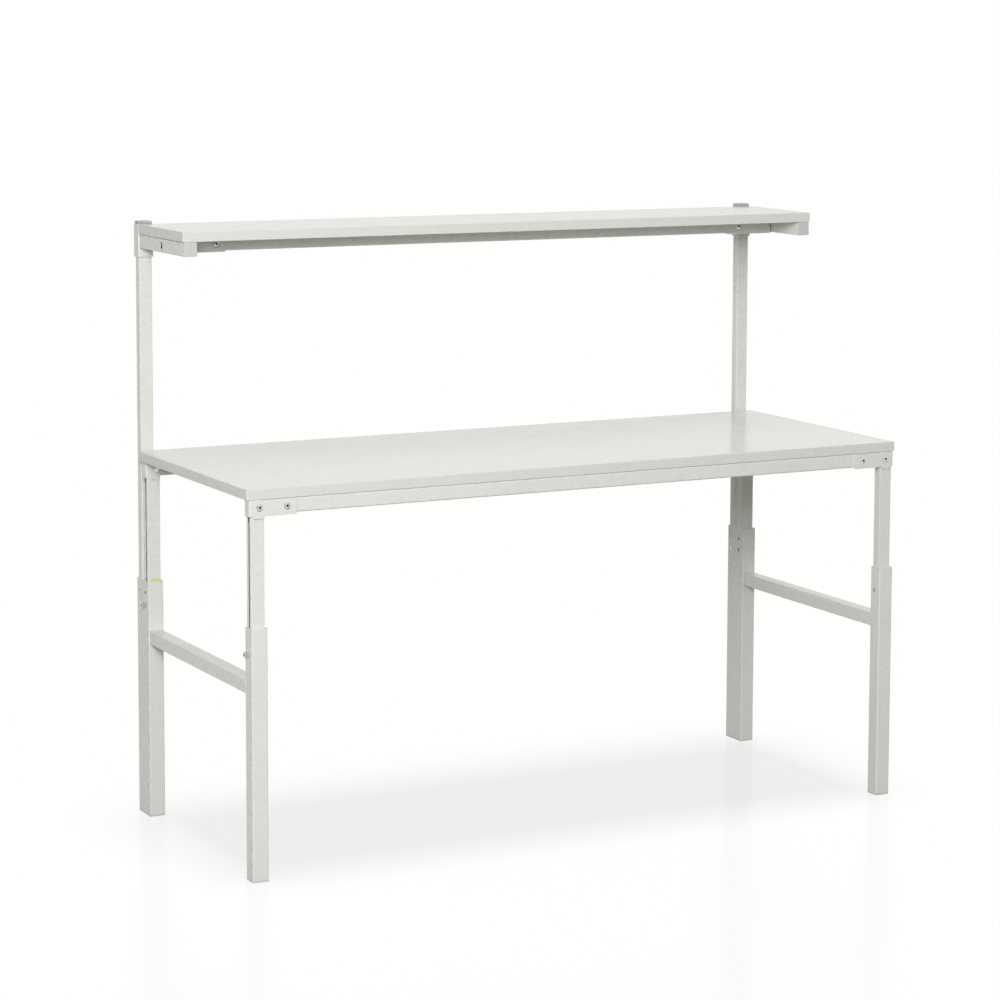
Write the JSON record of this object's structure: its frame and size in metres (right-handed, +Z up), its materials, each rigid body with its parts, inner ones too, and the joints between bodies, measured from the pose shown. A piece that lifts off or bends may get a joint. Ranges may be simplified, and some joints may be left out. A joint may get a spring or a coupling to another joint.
{
  "type": "workbench",
  "caption": "Free-standing packing bench with a laminated worktop, telescopic steel legs and an upper shelf on two posts.",
  "frame": {"origin": "on the floor, at the middle of the footprint", "axes": "+X along the worktop to the user's right, +Y from the user's side to the posts, +Z up"},
  "size_m": [1.8078, 0.7444, 1.4996],
  "materials": {
    "warm_grey_powder_coat": "satin powder coat",
    "pale_grey_laminate": "satin laminate on chipboard",
    "bright_zinc_steel": "bright zinc plate",
    "light_grey_polyamide": "matte"
  },
  "bodies": {
    "side_frames": {"clamp_nut_front_left": "bright_zinc_steel", "clamp_nut_front_right": "bright_zinc_steel", "clamp_nut_rear_left": "bright_zinc_steel", "clamp_nut_rear_right": "bright_zinc_steel", "clamp_screw_front_left": "bright_zinc_steel", "clamp_screw_front_right": "bright_zinc_steel", "clamp_screw_rear_left": "bright_zinc_steel", "clamp_screw_rear_right": "bright_zinc_steel", "crossbeam_left": "warm_grey_powder_coat", "crossbeam_right": "warm_grey_powder_coat", "foot_front_left": "light_grey_polyamide", "foot_front_right": "light_grey_polyamide", "foot_rear_left": "light_grey_polyamide", "foot_rear_right": "light_grey_polyamide", "leg_guide_front_left": "light_grey_polyamide", "leg_guide_front_right": "light_grey_polyamide", "leg_guide_rear_left": "light_grey_polyamide", "leg_guide_rear_right": "light_grey_polyamide", "lower_sleeve_rear_left": "warm_grey_powder_coat", "lower_sleeve_rear_right": "warm_grey_powder_coat", "lower_tube_front_left": "warm_grey_powder_coat", "lower_tube_front_right": "warm_grey_powder_coat", "post_cap_left": "light_grey_polyamide", "post_cap_right": "light_grey_polyamide", "post_left": "warm_grey_powder_coat", "post_right": "warm_grey_powder_coat", "post_screw_left": "bright_zinc_steel", "post_screw_right": "bright_zinc_steel"},
    "lifting_top": {"corner_bracket_front_left": "warm_grey_powder_coat", "corner_bracket_front_right": "warm_grey_powder_coat", "corner_bracket_rear_left": "warm_grey_powder_coat", "corner_bracket_rear_right": "warm_grey_powder_coat", "leg_bolt_front_left": "bright_zinc_steel", "leg_bolt_front_right": "bright_zinc_steel", "leg_bolt_rear_left": "bright_zinc_steel", "leg_bolt_rear_right": "bright_zinc_steel", "rail_bolt_front_left": "bright_zinc_steel", "rail_bolt_front_right": "bright_zinc_steel", "rail_bolt_rear_left": "bright_zinc_steel", "rail_bolt_rear_right": "bright_zinc_steel", "rail_front": "warm_grey_powder_coat", "rail_rear": "warm_grey_powder_coat", "upper_leg_front_left": "warm_grey_powder_coat", "upper_leg_front_right": "warm_grey_powder_coat", "upper_leg_rear_left": "warm_grey_powder_coat", "upper_leg_rear_right": "warm_grey_powder_coat", "worktop": "pale_grey_laminate"},
    "sliding_shelf": {"arm_cap_left": "light_grey_polyamide", "arm_cap_right": "light_grey_polyamide", "collar_screw_left": "bright_zinc_steel", "collar_screw_right": "bright_zinc_steel", "rail_saddle_left": "warm_grey_powder_coat", "rail_saddle_right": "warm_grey_powder_coat", "saddle_bolt_left": "bright_zinc_steel", "saddle_bolt_right": "bright_zinc_steel", "shelf_board": "pale_grey_laminate", "shelf_rail": "warm_grey_powder_coat", "shelf_support_left": "warm_grey_powder_coat", "shelf_support_right": "warm_grey_powder_coat"}
  },
  "joints": [
    {"name": "worktop_height", "type": "slide", "parent": "side_frames", "child": "lifting_top", "axis": [0, 0, 1], "range_m": [-0.25, 0]},
    {"name": "shelf_height", "type": "slide", "parent": "side_frames", "child": "sliding_shelf", "axis": [0, 0, 1], "range_m": [-0.4, 0]}
  ]
}
